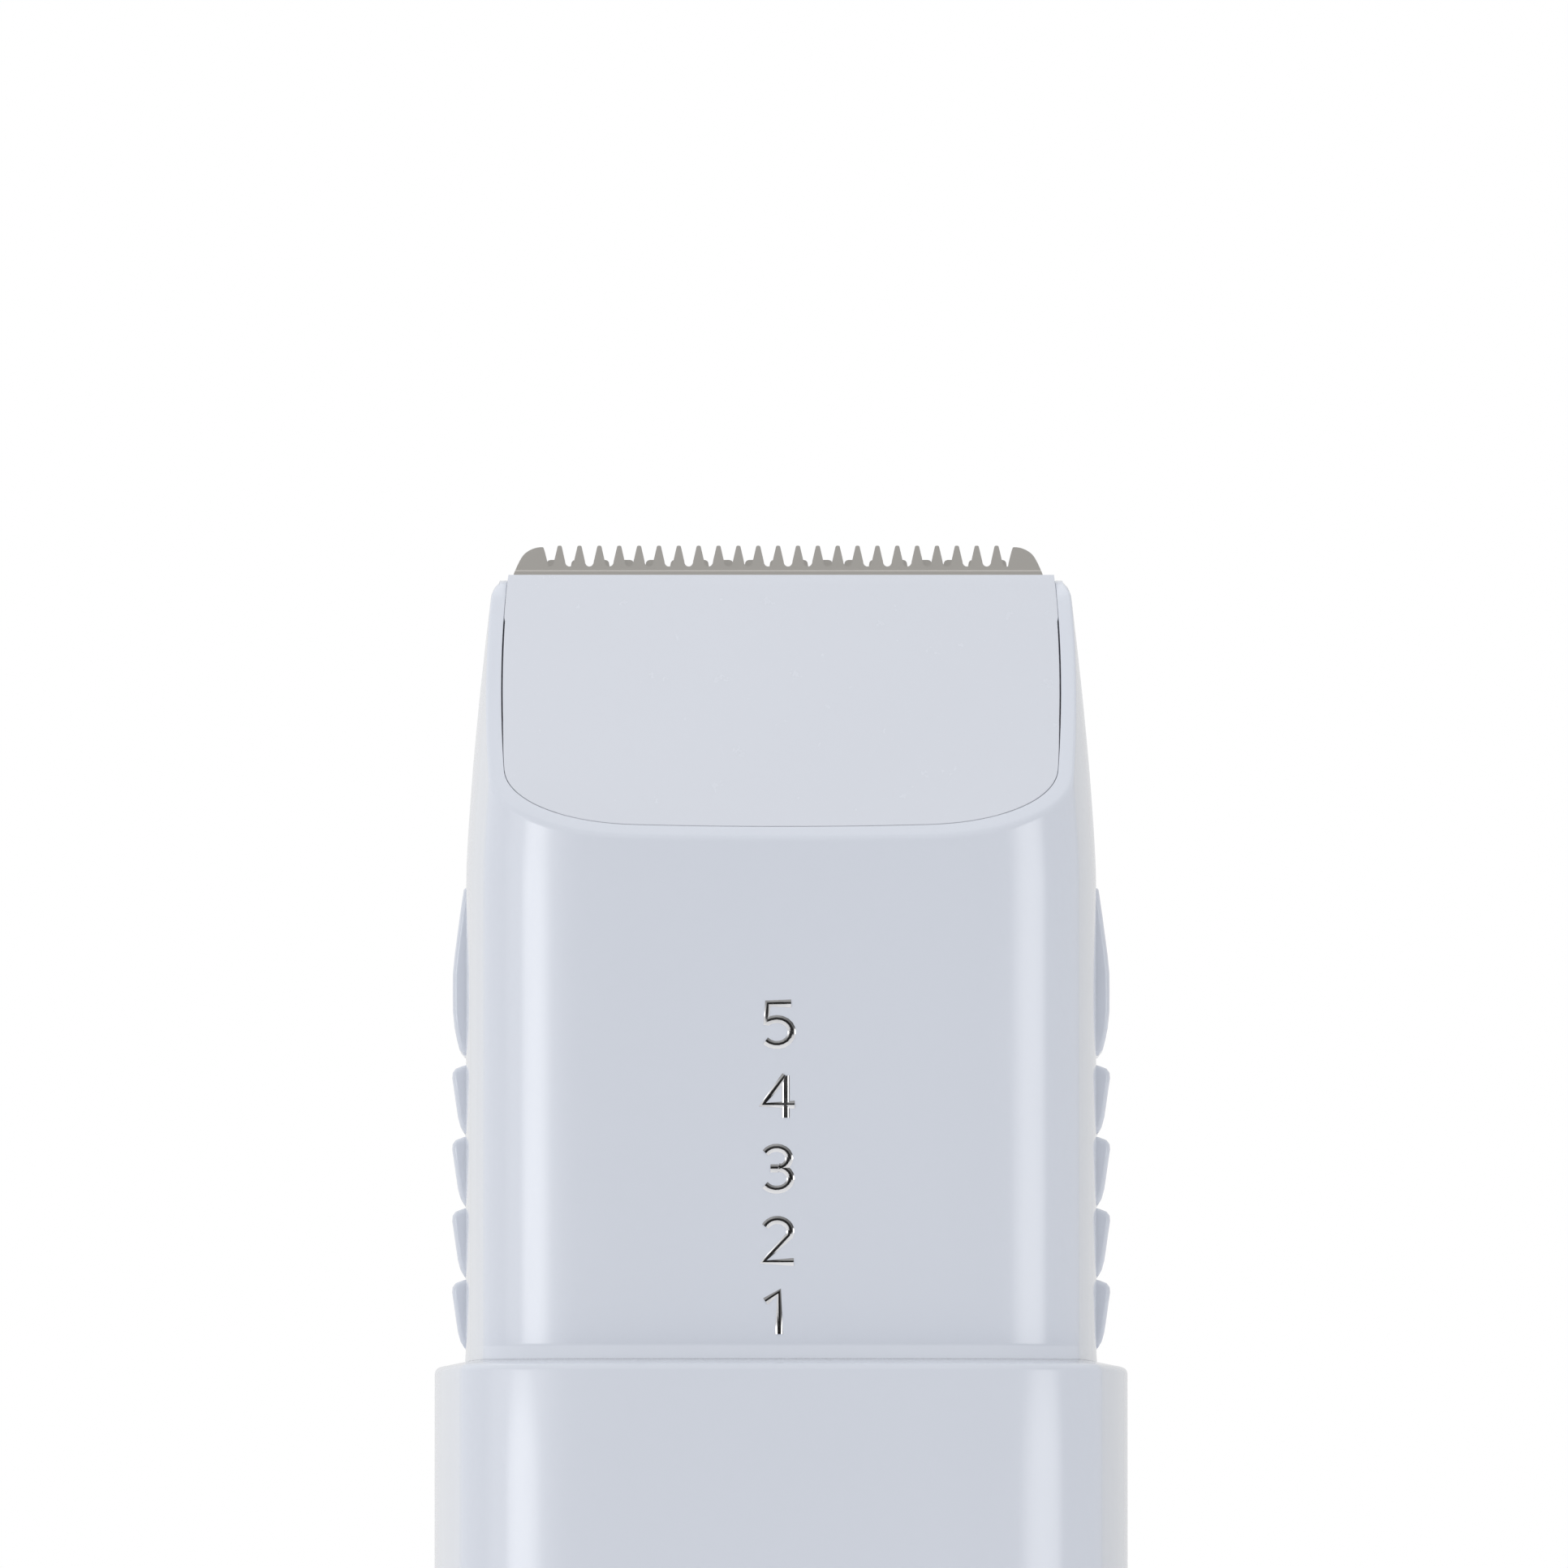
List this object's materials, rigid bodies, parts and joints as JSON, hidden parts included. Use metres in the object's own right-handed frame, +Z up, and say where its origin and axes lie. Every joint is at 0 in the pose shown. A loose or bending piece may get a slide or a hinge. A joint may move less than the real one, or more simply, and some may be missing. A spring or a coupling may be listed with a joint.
{
  "type": "battery hair clipper",
  "caption": "Slim battery hair clipper with a sloping toothed blade block that tips open, side comb detents, a slide switch and a rear cell door.",
  "frame": {"origin": "middle of the flat base, on the surface the clipper stands on", "axes": "+Z up the clipper to the blade tips, +X to the right seen from the front, -Y out of the front with the sloping blade panel"},
  "size_m": [0.0386, 0.0318, 0.148],
  "materials": {
    "white_gloss": "gloss",
    "panel_white": "gloss",
    "blade_steel": "ground",
    "bright_steel": "plated",
    "inner_grey": "matt",
    "black_plastic": "matt",
    "board": "satin",
    "brass": "plated",
    "winding": "enamelled wire",
    "ferrite": "matt",
    "seal_rubber": "matt",
    "lead_red": "satin",
    "lead_black": "satin",
    "cell_wrap": "printed film"
  },
  "bodies": {
    "housing": {"head_shell": "white_gloss", "grip_sleeve": "white_gloss", "base_cap": "white_gloss", "chassis": "inner_grey", "base_screw_left": "bright_steel", "base_screw_right": "bright_steel", "neck_screw_left": "bright_steel", "neck_screw_right": "bright_steel", "neck_seal": "seal_rubber", "cell_left": "cell_wrap", "cell_right": "cell_wrap", "cell_spring_left": "bright_steel", "cell_spring_right": "bright_steel", "contact_bridge": "bright_steel", "contact_positive": "bright_steel", "contact_negative": "bright_steel", "circuit_board": "board", "switch_body": "bright_steel", "lead_red": "lead_red", "lead_black": "lead_black", "motor_can": "bright_steel", "motor_end_bell": "black_plastic", "motor_bushing": "brass", "motor_seal": "seal_rubber", "magnet_left": "ferrite", "magnet_right": "ferrite", "terminal_left": "brass", "terminal_right": "brass"},
    "block": {"blade_panel": "panel_white", "fixed_blade": "blade_steel", "block_frame": "inner_grey", "blade_spring": "bright_steel"},
    "cutter": {"moving_blade": "blade_steel", "blade_carrier": "inner_grey"},
    "rotor": {"motor_shaft": "bright_steel", "armature": "winding", "commutator": "brass", "drive_cam": "black_plastic"},
    "switch": {"power_slider": "white_gloss", "switch_lever": "black_plastic"},
    "door": {"cell_door": "white_gloss"}
  },
  "joints": [
    {"name": "block_hinge", "type": "hinge", "parent": "housing", "child": "block", "pos_m": [0, -0.01255, 0.13193], "axis": [1, 0, 0], "range_deg": [0, 60]},
    {"name": "cutter_slide", "type": "slide", "parent": "block", "child": "cutter", "axis": [1, 0, 0], "range_m": [-0.00053, 0.00106]},
    {"name": "motor_turn", "type": "hinge", "parent": "housing", "child": "rotor", "pos_m": [0, 0, 0.093], "axis": [0, 0, 1], "continuous": true},
    {"name": "power_slide", "type": "slide", "parent": "housing", "child": "switch", "axis": [0, 0, 1], "range_m": [0, 0.004]},
    {"name": "door_slide", "type": "slide", "parent": "housing", "child": "door", "axis": [0, 0, -1], "range_m": [0, 0.064]}
  ]
}
